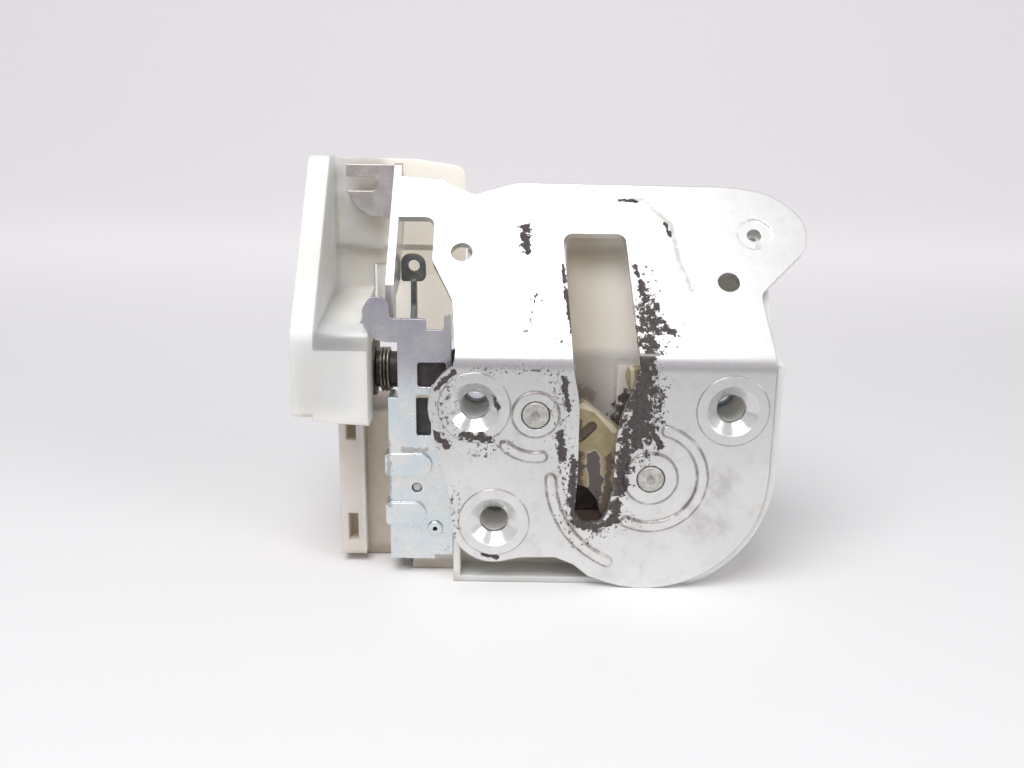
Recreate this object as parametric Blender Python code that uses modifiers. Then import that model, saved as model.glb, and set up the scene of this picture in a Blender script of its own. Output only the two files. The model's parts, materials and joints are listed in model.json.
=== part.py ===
"""Sliding door lock: a fork and pawl latch with its release levers behind a folded steel face plate.

Sizes are in millimetres, and MM turns them into metres. X runs to the right along the face plate, Y goes
back into the door and Z is up. The origin is the middle of the three fixing screws on the plate's front face.
"""

import math

import bmesh
import bpy
from mathutils import Matrix, Vector

MM = 0.001

# Fits
CLEAR = 0.3  # between pieces that touch
RUN = 0.4  # between pieces that slide past each other

# Face plate, a pressed sheet folded back along its top
SHEET = 2.8
LEAN = math.radians(41.0)
FOLD_RADIUS = 6.5
FOLD_Z = 26.3
FOLD_STEPS = 4
SCREW_A = (-29.5, 13.0)
SCREW_B = (52.5, 13.0)
SCREW_C = (-23.0, -26.0)
LOBE_A_RADIUS = 14.8
LOBE_C_RADIUS = 14.2
BELLY = (26.5, -10.0)
BELLY_RADIUS = 39.0
DISH_RADIUS = 8.0
DISH_DEPTH = 1.5
SCREW_BORE = 4.6
LAND_RADIUS = 11.5
LAND_HEIGHT = 0.35
BEAD_HEIGHT = 0.8
BEAD_WIDTH = 3.3
FORK_RING_RADIUS = 8.7
PAWL_RING_RADIUS = 7.5
FLANGE_HOLE = 3.6
CUP_RADIUS = 6.5
CUP_HOLE = 2.4
CUP_DEPTH = 0.8
WALL_X = -56.5
TAB_Y = 49.4
TAB_LEFT = -76.0
TAB_TOP = 85.7
INSET = 0.05  # how far a joined sheet stays inside its neighbour's face
NOTCH = (-67.5, 78.7)
NOTCH_RADIUS = 2.45

# Fork and pawl
FORK = (27.5, -10.0)
PAWL = (-10.0, 11.0)
FORK_CAM_RADIUS = 32.9
FORK_HOOK_RADIUS = 35.5
JACKET = 0.9
JACKET_FACE = 0.8
JACKET_HUB = 9.0
FORK_NEAR = SHEET + 1.8
FORK_THICK = 5.5
PAWL_THICK = 6.0
PAWL_HUB = 6.2
RIVET_RADIUS = 4.35
RIVET_PROUD = 0.4
RIVET_NECK = 3.0
RIVET_HEAD = 1.2
FORK_PIN_RADIUS = 5.2
PAWL_PIN_RADIUS = 4.6
FORK_COIL = 6.9
FORK_WIRE = 0.7
PAWL_COIL = 6.2
PAWL_WIRE = 0.6

# Lift lever beside the pawl
LIFT_THICK = 2.2
LIFT_NEAR = FORK_NEAR + PAWL_THICK + CLEAR

# Moulded housing
HOUSING_FLOOR_Z = -49.0
HOUSING_LEFT = -36.4
HOUSING_RIM = 3.0
WALL = 2.2
POCKET_FLOOR = LIFT_NEAR + LIFT_THICK + 0.5
CHANNEL_FLOOR = 20.0
CHANNEL_LEFT = 3.0
CHANNEL_RIGHT = 17.0
CHANNEL_BOTTOM = -27.0
HOUSING_BACK = CHANNEL_FLOOR + 2.0
TROUGH_LEFT = 0.0
TROUGH_RIGHT = 24.0
TROUGH_DEPTH = 15.0
TROUGH_TOP = 47.0
HOOD_LEFT = -33.0
HOOD_RIGHT = 66.0
BOSS_RADIUS = 6.6
COIL_WELL = 19.0
BOX_LEFT = -76.0
BOX_RIGHT = -36.0
BOX_FRONT = 24.0
BOX_BACK = 50.0
BOX_TOP = 4.0
CHEEK_FRONT = 17.6
CHEEK_RIGHT = -67.5

# Back plate
BACK_SHEET = 2.0
COLLAR_RADIUS = 6.0
COLLAR_LENGTH = 4.0
COLLAR_BORE = 3.4

# Lever bracket
BRACKET_SHEET = 1.5
BRACKET_FAR = LIFT_NEAR - RUN
BRACKET_LEFT = -58.0
BRACKET_RIGHT = -36.9
BRACKET_BOTTOM = -43.5
BRACKET_TOP = 39.5
TONGUE_X = -54.7
GUSSET_PROUD = 1.2
LOCATOR = (-48.9, -17.8)
LOCATOR_RADIUS = 1.4
LOCK_PIVOT = (-42.9, -32.3)
EYELET_HEAD = 2.65
EYELET_SHANK = 1.6
LOCK_THICK = 1.6
LOCK_TOP = 12.5

# Release levers on the cross pin, whose axis runs along X
PIN_Y = 30.0
PIN_Z = 17.5
PIN_RADIUS = 3.0
PIN_HEAD = 4.6
PIN_HEAD_THICK = 1.2
LEVER_SHEET = 1.8
BUSH_RADIUS = 6.2
BUSH_LENGTH = 8.9
LEVER_COIL = 7.3
LEVER_WIRE = 0.5
OUTER_HUB = 9.0
FOOT_TOP = 16.2
EYE_RADIUS = 2.0

# Side cover
COVER_LEFT = -88.4
COVER_BAND = 7.4
COVER_FRONT = 5.0
COVER_TOP = 88.0
COVER_SHOULDER = 34.0
COVER_BACK = 55.0
COVER_WALL = 2.0
COVER_PANEL_RIGHT = -64.0

# Rubber stop at the foot of the striker channel
STOP_TOP = -18.0
STOP_FRONT = 14.0

PLANES = {
    "XZ": Matrix(((1, 0, 0, 0), (0, 0, -1, 0), (0, 1, 0, 0), (0, 0, 0, 1))),
    "YZ": Matrix(((0, 0, 1, 0), (1, 0, 0, 0), (0, 1, 0, 0), (0, 0, 0, 1))),
    "XY": Matrix.Identity(4),
}
TURNS = {
    "X": Matrix(((0, 0, 1, 0), (1, 0, 0, 0), (0, 1, 0, 0), (0, 0, 0, 1))),
    "Y": Matrix(((1, 0, 0, 0), (0, 0, 1, 0), (0, -1, 0, 0), (0, 0, 0, 1))),
}


# Outlines

def polar(centre, radius, degrees):
    turn = math.radians(degrees)
    return (centre[0] + radius * math.cos(turn), centre[1] + radius * math.sin(turn))


def arc(centre, radius, start, end, step=12.0):
    """Points along an arc from one angle to another, both in degrees."""
    count = max(1, math.ceil(abs(end - start) / step))
    return [polar(centre, radius, start + (end - start) * i / count) for i in range(count + 1)]


def circle(centre, radius, count=24):
    return [polar(centre, radius, 360.0 * i / count) for i in range(count)]


def rounded(corners, step=20.0):
    """Outline through (a, b) or (a, b, radius) corners, with an arc at each corner that has a radius."""
    points = []
    for i, corner in enumerate(corners):
        here = Vector(corner[:2])
        before = Vector(corners[i - 1][:2]) - here
        after = Vector(corners[(i + 1) % len(corners)][:2]) - here
        angle = before.angle(after)
        if len(corner) < 3 or angle > math.radians(178):
            points.append(tuple(here))
            continue
        reach = min(corner[2] / math.tan(angle / 2), 0.49 * before.length, 0.49 * after.length)
        radius = reach * math.tan(angle / 2)
        centre = here + (before.normalized() + after.normalized()).normalized() * (radius / math.sin(angle / 2))
        first = here + before.normalized() * reach - centre
        last = here + after.normalized() * reach - centre
        turn = first.angle_signed(last)
        count = max(1, math.ceil(abs(math.degrees(turn)) / step))
        for k in range(count + 1):
            spin = -turn * k / count
            points.append((
                centre.x + first.x * math.cos(spin) - first.y * math.sin(spin),
                centre.y + first.x * math.sin(spin) + first.y * math.cos(spin),
            ))
    return points


def offset(points, distance):
    """The closed outline moved out by a distance, or in where it is negative. It runs counter-clockwise."""
    moved = []
    for i, here in enumerate(points):
        here = Vector(here)
        one = (here - Vector(points[i - 1])).normalized()
        two = (Vector(points[(i + 1) % len(points)]) - here).normalized()
        normal = Vector((one.y + two.y, -one.x - two.x)).normalized()
        stretch = max(0.5, normal.dot(Vector((one.y, -one.x))))
        moved.append(tuple(here + normal * (distance / stretch)))
    return moved


def band(centre, radius, width, start, end):
    """Outline of a curved bead with round ends."""
    half = width / 2
    head = arc(polar(centre, radius, end), half, end, end + 180, 36)[1:-1]
    tail = arc(polar(centre, radius, start), half, start + 180, start + 360, 36)[1:-1]
    outer = arc(centre, radius + half, start, end)
    inner = arc(centre, radius - half, end, start)
    return outer + head + inner + tail


def fold(depth, flat_z):
    """(Y, Z) of a point of the flat sheet once its top is folded back."""
    run = flat_z - FOLD_Z
    if run <= 0:
        return depth, flat_z
    turn = min(run / FOLD_RADIUS, LEAN)
    radius = FOLD_RADIUS - depth
    rest = run - FOLD_RADIUS * turn
    return (
        FOLD_RADIUS - radius * math.cos(turn) + rest * math.sin(turn),
        FOLD_Z + radius * math.sin(turn) + rest * math.cos(turn),
    )


FLANGE_Z = FOLD_Z + FOLD_RADIUS * LEAN  # where the flange starts on the flat sheet


def behind(depth, along):
    """(Y, Z) of a point a depth behind the flange's front and a length up its slope."""
    start = (FOLD_RADIUS * (1 - math.cos(LEAN)), FOLD_Z + FOLD_RADIUS * math.sin(LEAN))
    return (
        start[0] + depth * math.cos(LEAN) + along * math.sin(LEAN),
        start[1] - depth * math.sin(LEAN) + along * math.cos(LEAN),
    )


# Solids

def collection_of(name):
    found = bpy.data.collections.get(name)
    if found is None:
        found = bpy.data.collections.new(name)
        bpy.context.scene.collection.children.link(found)
    return found


def put(name, mesh):
    """A new object for this mesh, with its normals facing out."""
    work = bmesh.new()
    work.from_mesh(mesh)
    bmesh.ops.remove_doubles(work, verts=work.verts, dist=0.0003 * MM)
    bmesh.ops.recalc_face_normals(work, faces=work.faces)
    work.to_mesh(mesh)
    work.free()
    mesh.name = name
    thing = bpy.data.objects.new(name, mesh)
    collection_of("sliding_door_lock").objects.link(thing)
    return thing


def baked(thing):
    """The object's evaluated mesh, with what made it removed."""
    bpy.context.view_layer.update()
    graph = bpy.context.evaluated_depsgraph_get()
    mesh = bpy.data.meshes.new_from_object(thing.evaluated_get(graph))
    mesh.transform(thing.matrix_world)
    for modifier in thing.modifiers:
        if modifier.type == "BOOLEAN":
            bpy.data.objects.remove(modifier.object)
    name = thing.name
    bpy.data.objects.remove(thing)
    return put(name, mesh)


def slab(name, outline, near, far, plane="XZ", holes=()):
    """A flat outline given thickness from one depth to another, square to its plane."""
    curve = bpy.data.curves.new(name, "CURVE")
    curve.dimensions = "2D"
    curve.fill_mode = "BOTH"
    curve.extrude = abs(far - near) / 2 * MM
    for ring in (outline, *holes):
        spline = curve.splines.new("POLY")
        spline.points.add(len(ring) - 1)
        for point, (a, b) in zip(spline.points, ring):
            point.co = (a * MM, b * MM, 0, 1)
        spline.use_cyclic_u = True
    thing = bpy.data.objects.new(name, curve)
    collection_of("sliding_door_lock").objects.link(thing)
    middle = (near + far) / 2 * MM
    thing.matrix_world = PLANES[plane] @ Matrix.Translation((0, 0, -middle if plane == "XZ" else middle))
    return baked(thing)


def turned(name, profile, centre, axis="Y", steps=24):
    """A closed (radius, depth) profile turned about an axis along X or Y through the centre."""
    mesh = bpy.data.meshes.new(name)
    points = [(radius * MM, 0, depth * MM) for radius, depth in profile]
    edges = [(i, (i + 1) % len(points)) for i in range(len(points))]
    if profile[0][0] == 0 and profile[-1][0] == 0:
        edges.pop()
    mesh.from_pydata(points, edges, [])
    thing = bpy.data.objects.new(name, mesh)
    collection_of("sliding_door_lock").objects.link(thing)
    screw = thing.modifiers.new("turn", "SCREW")
    screw.steps = screw.render_steps = steps
    screw.use_merge_vertices = True
    screw.merge_threshold = 0.00001
    place = (0, centre[0], centre[1]) if axis == "X" else (centre[0], 0, centre[1])
    thing.matrix_world = Matrix.Translation(Vector(place) * MM) @ TURNS[axis]
    return flat_caps(baked(thing))


def flat_caps(thing):
    """Makes each flat fan of triangles round a turned end's centre into one face."""
    work = bmesh.new()
    work.from_mesh(thing.data)
    hubs = [vert for vert in work.verts if len(vert.link_faces) > 8]
    flat = [hub for hub in hubs if all(
        face.normal.dot(hub.link_faces[0].normal) > 0.99999 for face in hub.link_faces
    )]
    bmesh.ops.dissolve_verts(work, verts=flat)
    work.to_mesh(thing.data)
    work.free()
    return thing


def drum(name, centre, radius, near, far, axis="Y", steps=24):
    return turned(name, [(0, near), (radius, near), (radius, far), (0, far)], centre, axis, steps)


def block(name, low, high):
    mesh = bpy.data.meshes.new(name)
    work = bmesh.new()
    bmesh.ops.create_cube(work, size=1)
    for vert in work.verts:
        vert.co = [(low[i] + (high[i] - low[i]) * (vert.co[i] + 0.5)) * MM for i in range(3)]
    work.to_mesh(mesh)
    work.free()
    return put(name, mesh)


def coil(name, centre, radius, wire, near, far, turns, axis="Y"):
    """A wire wound about an axis, as a tube along a helix."""
    curve = bpy.data.curves.new(name, "CURVE")
    curve.dimensions = "3D"
    curve.bevel_depth = wire * MM
    curve.bevel_resolution = 2
    curve.use_fill_caps = True
    steps = 16
    spline = curve.splines.new("POLY")
    spline.points.add(round(turns * steps))
    for i, point in enumerate(spline.points):
        turn = 2 * math.pi * i / steps
        depth = near + wire + (far - near - 2 * wire) * i / (turns * steps)
        point.co = (radius * math.cos(turn) * MM, radius * math.sin(turn) * MM, depth * MM, 1)
    thing = bpy.data.objects.new(name, curve)
    collection_of("sliding_door_lock").objects.link(thing)
    place = (0, centre[0], centre[1]) if axis == "X" else (centre[0], 0, centre[1])
    thing.matrix_world = Matrix.Translation(Vector(place) * MM) @ TURNS[axis]
    return baked(thing)


def combine(body, tools, operation):
    """One Boolean for each tool, which moves to the cutters' collection."""
    for tool in tools:
        modifier = body.modifiers.new(tool.name, "BOOLEAN")
        modifier.operation = operation
        modifier.solver = "EXACT"
        modifier.object = tool
        collection_of("sliding_door_lock").objects.unlink(tool)
        collection_of("cutters").objects.link(tool)
        tool.hide_render = True
        tool.display_type = "WIRE"
    return body


def join(body, *tools):
    return combine(body, tools, "UNION")


def cut(body, *tools):
    return combine(body, tools, "DIFFERENCE")


# Face plate

def up(along):
    """Height on the flat sheet of a point this far up the flange."""
    return FLANGE_Z + along


def plate_outline():
    right = [(65.3, FOLD_Z), (65.3, up(0)), (62.7, up(23.0), 5), (79.4, up(40.6), 9), (80.3, up(51.5), 12)]
    top = [(69.5, up(62.4), 16), (56.0, up(65.0), 30), (-17.0, up(65.6), 12), (-31.5, up(60.4), 4)]
    arm = [(-42.5, up(66.6), 6), (-58.0, up(68.0)), (-58.0, up(51.0)), (-44.4, up(51.0), 3)]
    left = [(-44.4, up(34.0), 4), (-37.2, up(19.0), 6), (-35.6, up(0))]
    flange = rounded([(65.5, 10.0)] + right + top + arm + left + [(-36.0, FOLD_Z)])
    waist = [(-42.0, 1.0), (-38.9, -11.6), (-37.2, -20.0)]
    foot = [(-14.0, -38.4), (-2.6, -38.2), (3.5, -40.8), (8.6, -45.0)]
    return (
        arc(BELLY, BELLY_RADIUS, -115.5, 0, 7.5)
        + flange
        + arc(SCREW_A, LOBE_A_RADIUS, 122, 205)
        + waist
        + arc(SCREW_C, LOBE_C_RADIUS, 166, 292)
        + foot
    )


def slot_outline():
    """The striker's throat, from the foot of the plate up over the fold into the flange."""
    left = [(-1.2, up(45.2), 3), (1.4, up(0)), (1.6, FOLD_Z), (3.9, 15.0, 20), (4.0, -10.0, 30), (3.2, -22.0, 4)]
    foot = [(5.4, -26.2, 3), (11.6, -26.2, 3), (14.2, -22.0, 5), (15.6, -13.0, 12)]
    right = [(16.0, 6.0, 24), (22.8, FOLD_Z), (22.5, up(0)), (19.4, up(45.2), 3)]
    return rounded(left + foot + right)


def beads():
    """Pressed beads and rings that stand proud of the plate, and the lands round the screws."""
    arcs = [
        band(FORK, 16.7, BEAD_WIDTH, -116, 74),
        band(FORK, 32.2, BEAD_WIDTH, 181, 246),
        band(PAWL, 14.2, BEAD_WIDTH, 228, 279),
    ]
    lands = [circle(centre, LAND_RADIUS, 36) for centre in (SCREW_A, SCREW_B, SCREW_C)]
    rings = [circle(FORK, FORK_RING_RADIUS, 32), circle(PAWL, PAWL_RING_RADIUS, 32)]
    made = [slab(f"bead_{i}", outline, -BEAD_HEIGHT, SHEET / 2) for i, outline in enumerate(arcs + rings)]
    made += [slab(f"land_{i}", outline, -LAND_HEIGHT, SHEET / 2) for i, outline in enumerate(lands)]
    return made


def bend_sheet(thing):
    """Folds the sheet back along its top, after splitting its faces along the fold."""
    work = bmesh.new()
    work.from_mesh(thing.data)
    for i in range(FOLD_STEPS + 1):
        level = (FOLD_Z + (FLANGE_Z - FOLD_Z) * i / FOLD_STEPS) * MM
        geometry = work.verts[:] + work.edges[:] + work.faces[:]
        bmesh.ops.bisect_plane(work, geom=geometry, dist=1e-7, plane_co=(0, 0, level), plane_no=(0, 0, 1))
    for vert in work.verts:
        y, z = fold(vert.co.y / MM, vert.co.z / MM)
        vert.co.y, vert.co.z = y * MM, z * MM
    bmesh.ops.triangulate(work, faces=work.faces)
    work.to_mesh(thing.data)
    work.free()
    return thing


def cone(name, centre, profile):
    """A turned cutter through (radius, depth) points, closed on its axis."""
    return turned(name, [(0, profile[0][1])] + list(profile) + [(0, profile[-1][1])], centre, steps=32)


def side_wall():
    """Wall folded back from the arm's end, with the cable tab folded out at its rear."""
    rear = TAB_Y + SHEET - INSET
    outline = [
        behind(INSET, 24.4), behind(INSET, 72.6), (rear, TAB_TOP), (rear, 66.0),
        behind(16, 54), behind(16, 36), (23.6, 44.0), (23.6, 36.0), (17.6, 36.0),
    ]
    return slab("wall", outline, WALL_X - SHEET, WALL_X, "YZ")


def cable_tab():
    x, z = NOTCH
    mouth = [(TAB_LEFT, z + NOTCH_RADIUS), *arc(NOTCH, NOTCH_RADIUS, 90, -90, 30), (TAB_LEFT, z - NOTCH_RADIUS)]
    lower = [(-74.2, 72.6), (-71.5, 69.4), (-68.0, 67.5), (-62.0, 67.0), (WALL_X - SHEET / 2, 67.0)]
    outline = [(WALL_X - SHEET / 2, TAB_TOP - 0.4), (TAB_LEFT, TAB_TOP - 0.4)] + mouth + lower
    return slab("tab", outline, TAB_Y, TAB_Y + SHEET)


def face_plate():
    cup = (62.6, up(46.0))
    flange_holes = [circle((-34.8, up(37.3)), FLANGE_HOLE), circle((52.5, up(27.1)), FLANGE_HOLE)]
    plate = slab("face_plate", plate_outline(), 0, SHEET, holes=[slot_outline(), *flange_holes])
    join(plate, *beads())
    join(plate, slab("cup_back", circle(cup, CUP_RADIUS + 0.6, 28), SHEET / 2, SHEET + CUP_DEPTH))
    cut(plate, cone("cup_front", cup, [(CUP_RADIUS, -1), (CUP_RADIUS - 0.8, CUP_DEPTH)]))
    cut(plate, drum("cup_hole", cup, CUP_HOLE, -1, SHEET + 2))
    for i, centre in enumerate((SCREW_A, SCREW_B, SCREW_C)):
        back = [(DISH_RADIUS + 2.6, SHEET - 1), (SCREW_BORE + 2.4, SHEET + DISH_DEPTH)]
        join(plate, cone(f"dish_back_{i}", centre, back))
        spread = (DISH_RADIUS - SCREW_BORE) / SHEET
        front = [(DISH_RADIUS + spread, -1), (SCREW_BORE, SHEET), (SCREW_BORE, SHEET + 4)]
        cut(plate, cone(f"dish_{i}", centre, front))
    for i, centre in enumerate((FORK, PAWL)):
        cut(plate, drum(f"rivet_hole_{i}", centre, RIVET_RADIUS + CLEAR, -3, SHEET + 3))
    plate = bend_sheet(baked(plate))
    return join(plate, side_wall(), cable_tab())


# Fork and pawl

def fork_outline():
    """Steel core of the fork, seen from the front, with its hook up and its claw across the throat."""
    hook = arc((0, 0), FORK_HOOK_RADIUS, 97.5, 102.5, 3)
    mouth = [
        (-8.6, 31.5, 2), (-7.6, 28.0, 3), (-3.5, 23.5, 4), (1.2, 20.0, 3), (1.2, 13.6, 3), (-3.2, 11.2, 2),
        (-7.0, 12.2, 3), (-12.3, 16.4, 10),
    ]
    cam = arc((0, 0), FORK_CAM_RADIUS, 133, 198, 5)
    tail = [(-28.4, -9.9, 1), (-25.6, -4.5, 2), (-20.4, -4.6, 4), (-16.6, -9.5, 4), (-15.5, -14.5, 4)]
    back = [
        (-9.0, -18.0, 6), (2.0, -17.6, 8), (13.5, -10.5, 8), (16.4, 1.0, 10), (13.6, 13.0, 10), (7.6, 25.0, 10),
        (1.2, 34.4, 2),
    ]
    points = rounded(hook + mouth + cam + tail + back)
    return [(FORK[0] + a, FORK[1] + b) for a, b in points]


def fork():
    near = FORK_NEAR + JACKET_FACE
    far = FORK_NEAR + FORK_THICK - JACKET_FACE
    bore = circle(FORK, FORK_PIN_RADIUS + CLEAR)
    return slab("fork", offset(fork_outline(), -JACKET), near, far, holes=[bore])


def fork_cover():
    """Plastic jacket moulded round the fork, open at its hub and at the window near the claw."""
    outline = fork_outline()
    cover = slab("fork_cover", outline, FORK_NEAR, FORK_NEAR + FORK_THICK, holes=[circle(FORK, JACKET_HUB, 32)])
    near = FORK_NEAR + JACKET_FACE - CLEAR
    far = FORK_NEAR + FORK_THICK - JACKET_FACE + CLEAR
    cut(cover, slab("fork_core", offset(outline, CLEAR - JACKET), near, far))
    centre = (FORK[0] - 21.0, FORK[1] + 14.0)
    window = [(polar(centre, 3.2, 50)), *arc(polar(centre, 2.6, 45), 1.7, -45, 135, 30)]
    window += arc(polar(centre, -2.6, 45), 1.7, 135, 315, 30)
    cut(cover, slab("fork_window", window[1:], FORK_NEAR - 1, FORK_NEAR + 2))
    return cover


def pawl():
    """Pawl with its nose on the fork's cam, hung from its own pin."""
    nose = arc(FORK, FORK_CAM_RADIUS + CLEAR, 184, 197, 4)
    x, z = PAWL
    arm = [
        *nose, (-5.6, -21.6), (-9.0, -22.4), (-12.6, -19.6), (-14.2, -14.0), (-14.6, -4.0),
        *arc(PAWL, PAWL_HUB, 190, -40), (x + 1.2, z - 9.0), (x + 0.5, z - 13.0), (x + 0.5, z - 19.5),
    ]
    return slab("pawl", arm, FORK_NEAR, FORK_NEAR + PAWL_THICK, holes=[circle(PAWL, PAWL_PIN_RADIUS + CLEAR)])


def lift_lever():
    """Lever on the pawl's pin that arches over the upper left screw to the release lever's foot."""
    x, z = PAWL
    upper = [(x - 9.0, 26.5, 6), (-24.0, 29.6, 8), (-36.0, 29.4, 8), (-43.0, 26.0, 4), (-51.8, 25.4, 2)]
    lower = [(-51.8, FOOT_TOP + RUN, 1), (-44.5, FOOT_TOP + RUN, 2), (-39.5, 20.6, 4), (-33.0, 23.6, 6)]
    inner = [(-24.5, 23.2, 6), (x - 7.4, 12.0, 3)]
    outline = rounded([(x + 4.5, 19.5, 5), *upper, *lower, *inner, (x - 5.0, z - 5.4, 4), (x + 5.6, z - 4.6, 5)])
    return slab("lift_lever", outline, LIFT_NEAR, LIFT_NEAR + LIFT_THICK,
                holes=[circle(PAWL, PAWL_PIN_RADIUS + CLEAR)])


def shouldered_pin(name, centre, radius):
    """Pin riveted flush in the plate's front, with a shoulder for what turns on it and a head at the back."""
    front = -BEAD_HEIGHT - RIVET_PROUD
    back = HOUSING_BACK + CLEAR + BACK_SHEET + CLEAR
    return turned(name, [
        (0, front + 0.5), (1.1, front + 0.3), (1.3, front), (RIVET_RADIUS - 0.4, front),
        (RIVET_RADIUS, front + 0.4), (RIVET_RADIUS, SHEET + CLEAR), (radius, SHEET + CLEAR),
        (radius, HOUSING_BACK), (RIVET_NECK, HOUSING_BACK), (RIVET_NECK, back), (RIVET_RADIUS, back),
        (RIVET_RADIUS - 0.3, back + RIVET_HEAD), (0, back + RIVET_HEAD),
    ], centre, steps=28)


# Moulded housing

def housing_profile():
    """Side view of the main moulding, which follows the plate and its flange."""
    levels = [HOUSING_FLOOR_Z] + [FOLD_Z + (FLANGE_Z - FOLD_Z) * i / FOLD_STEPS for i in range(FOLD_STEPS)]
    front = [fold(SHEET + CLEAR, level) for level in levels]
    front += [behind(SHEET + CUP_DEPTH + CLEAR, along) for along in (1.0, TROUGH_TOP + WALL)]
    rear = TROUGH_DEPTH + 2.0
    knee = (HOUSING_BACK - behind(rear, 0)[0]) / math.sin(LEAN)
    return front + [behind(rear, TROUGH_TOP + WALL), behind(rear, knee), (HOUSING_BACK, HOUSING_FLOOR_Z)]


def housing_front():
    """Front view of the main moulding: flat below, round at the right and square behind the flange."""
    radius = BELLY_RADIUS + HOUSING_RIM
    dip = math.degrees(math.asin((BELLY[1] - HOUSING_FLOOR_Z) / radius))
    right = BELLY[0] + radius
    return [
        (HOUSING_LEFT, HOUSING_FLOOR_Z), *arc(BELLY, radius, -dip, 0, 7.5), (right, FOLD_Z),
        (HOOD_RIGHT, FOLD_Z + 8), (HOOD_RIGHT, 100), (HOOD_LEFT, 100), (HOOD_LEFT, FOLD_Z + 6), (HOUSING_LEFT, FOLD_Z),
    ]


def pocket_outline():
    radius = BELLY_RADIUS + HOUSING_RIM - WALL
    low = HOUSING_FLOOR_Z + WALL
    dip = math.degrees(math.asin((BELLY[1] - low) / radius))
    return [
        (HOUSING_LEFT + WALL, low), *arc(BELLY, radius, -dip, 0, 7.5),
        (BELLY[0] + radius, FOLD_Z), (BELLY[0] + radius - 3, FOLD_Z + 1), (HOUSING_LEFT + WALL, FOLD_Z + 1),
    ]


def trough(name, left, right, low):
    """Cutter for a bay behind the flange, with its floor along the slope."""
    knee = (CHANNEL_FLOOR - behind(TROUGH_DEPTH, 0)[0]) / math.sin(LEAN)
    outline = [
        (-2, low), (CHANNEL_FLOOR, low), behind(TROUGH_DEPTH, knee), behind(TROUGH_DEPTH, TROUGH_TOP),
        behind(-2, TROUGH_TOP),
    ]
    return slab(name, outline, left, right, "YZ")


def lever_box():
    """Deep box at the lower left, open at the back, with a cheek in front that the cover clips to."""
    low = HOUSING_FLOOR_Z
    box = block("lever_box", (BOX_LEFT, BOX_FRONT, low), (BOX_RIGHT, BOX_BACK, BOX_TOP))
    cut(box, block("lever_box_hollow", (BOX_LEFT + 2, BOX_FRONT + 2, low + 2), (BOX_RIGHT - 2, BOX_BACK + 2, BOX_TOP - 2)))
    join(box, block("cheek", (BOX_LEFT, CHEEK_FRONT, low + 3), (CHEEK_RIGHT, BOX_FRONT + 1, BOX_TOP)))
    for i, (base, top) in enumerate(((-4.5, BOX_TOP + 2), (-41.0, -31.0))):
        cut(box, block(f"clip_slot_{i}", (-73.6, CHEEK_FRONT - 2, base), (-70.2, BOX_FRONT + 0.5, top)))
    return baked(box)


def seat_block():
    """Solid seat behind the bracket, which the locator and the eyelet stand in."""
    front = BRACKET_FAR + RUN + LOCK_THICK + CLEAR
    seat = block("seat", (-51.0, front, HOUSING_FLOOR_Z), (HOUSING_LEFT + 1, BOX_FRONT + 1, 2.0))
    join(seat, drum("locator", LOCATOR, LOCATOR_RADIUS, BRACKET_FAR - BRACKET_SHEET / 2, front + 2, steps=16))
    cut(seat, drum("eyelet_bore", LOCK_PIVOT, EYELET_SHANK + CLEAR, front - 2, front + 6, steps=20))
    return baked(seat)


def latch_housing():
    shell = slab("latch_housing", housing_profile(), HOUSING_LEFT - 5, BELLY[0] + BELLY_RADIUS + 12, "YZ")
    combine(shell, [slab("front_view", housing_front(), -10, 90)], "INTERSECT")
    cut(shell, slab("pocket", pocket_outline(), 0, POCKET_FLOOR))
    cut(shell, trough("bay_left", HOOD_LEFT + WALL, TROUGH_LEFT - WALL, FOLD_Z + 1.5))
    cut(shell, trough("bay_right", TROUGH_RIGHT + WALL, HOOD_RIGHT - WALL, FOLD_Z + 1.5))
    cut(shell, trough("bay_middle", TROUGH_LEFT, TROUGH_RIGHT, FOLD_Z - 2))
    channel = (CHANNEL_LEFT, POCKET_FLOOR - 1, CHANNEL_BOTTOM), (CHANNEL_RIGHT, CHANNEL_FLOOR, FOLD_Z + 1)
    cut(shell, block("channel", *channel))
    reach = LIFT_NEAR - RUN, LIFT_NEAR + LIFT_THICK + RUN
    cut(shell, block("lever_gate", (HOUSING_LEFT - 3, reach[0], 19.6), (HOUSING_LEFT + 26, reach[1], 34.6)))
    for i, centre in enumerate((SCREW_A, SCREW_B, SCREW_C)):
        cut(shell, drum(f"dish_room_{i}", centre, DISH_RADIUS + 2.6 + CLEAR, 0, SHEET + DISH_DEPTH + CLEAR + INSET))
        join(shell, drum(f"boss_{i}", centre, BOSS_RADIUS, SHEET + DISH_DEPTH + CLEAR, POCKET_FLOOR + 1))
        cut(shell, drum(f"boss_bore_{i}", centre, SCREW_BORE, 0, HOUSING_BACK + 2))
    for i, (centre, radius, well) in enumerate((
        (FORK, FORK_PIN_RADIUS, FORK_COIL + FORK_WIRE + 1), (PAWL, PAWL_PIN_RADIUS, PAWL_COIL + PAWL_WIRE + 1),
    )):
        steps = [(well, POCKET_FLOOR - 1), (well, COIL_WELL), (radius + CLEAR, COIL_WELL)]
        cut(shell, cone(f"pin_bore_{i}", centre, steps + [(radius + CLEAR, HOUSING_BACK + 2)]))
    return join(shell, lever_box(), seat_block())


def bump_stop():
    corners = [
        (CHANNEL_LEFT + CLEAR, CHANNEL_BOTTOM + CLEAR), (CHANNEL_RIGHT - CLEAR, CHANNEL_BOTTOM + CLEAR),
        (CHANNEL_RIGHT - CLEAR, STOP_TOP, 2), (CHANNEL_LEFT + CLEAR, STOP_TOP, 2),
    ]
    return slab("bump_stop", rounded(corners), STOP_FRONT, CHANNEL_FLOOR - CLEAR)


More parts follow.
